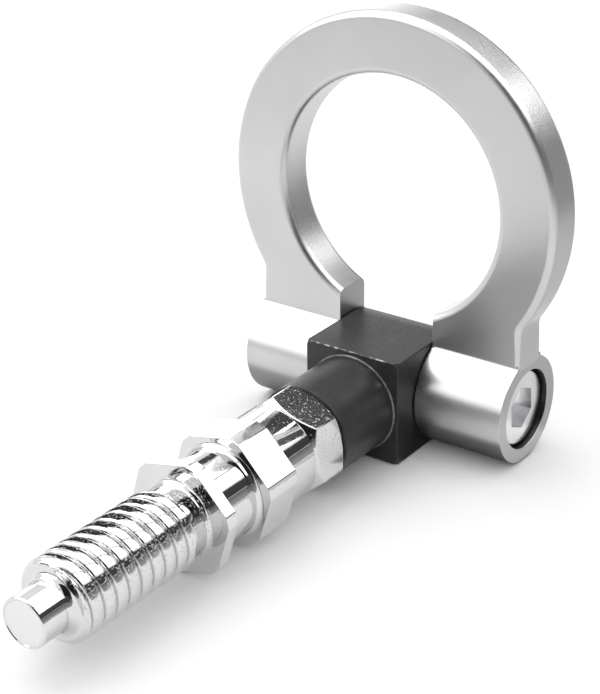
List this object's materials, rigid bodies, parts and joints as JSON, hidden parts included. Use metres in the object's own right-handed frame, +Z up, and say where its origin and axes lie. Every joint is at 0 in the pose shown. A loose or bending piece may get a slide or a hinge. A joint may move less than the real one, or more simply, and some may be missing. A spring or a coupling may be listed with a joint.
{
  "type": "folding tow eye",
  "caption": "Folding tow eye: an open ring on lugs turns on cap screws in a black block, held by a lock nut on a chromed shaft with a coarse thread.",
  "frame": {"origin": "on the thread's axis, in the plane of the flange face that seats on the car", "axes": "-Y along the thread towards its tip, +X along the hinge, +Z up along the ring when it stands"},
  "size_m": [0.0748, 0.1239, 0.0885],
  "materials": {
    "ring_aluminium": "fine blasted satin",
    "block_black": "satin black with lightly worn edges",
    "shaft_chrome": "bright chrome",
    "nut_chrome": "bright chrome, lightly pitted",
    "screw_steel": "plain bright zinc"
  },
  "bodies": {
    "shaft": {"threaded_shaft": "shaft_chrome", "lock_nut": "nut_chrome", "pivot_block": "block_black", "pivot_screw_right": "screw_steel", "pivot_screw_left": "screw_steel"},
    "ring": {"tow_ring": "ring_aluminium"}
  },
  "joints": [
    {"name": "ring_fold", "type": "hinge", "parent": "shaft", "child": "ring", "pos_m": [0, 0.0725, 0], "axis": [1, 0, 0], "range_deg": [-256, 76]}
  ]
}
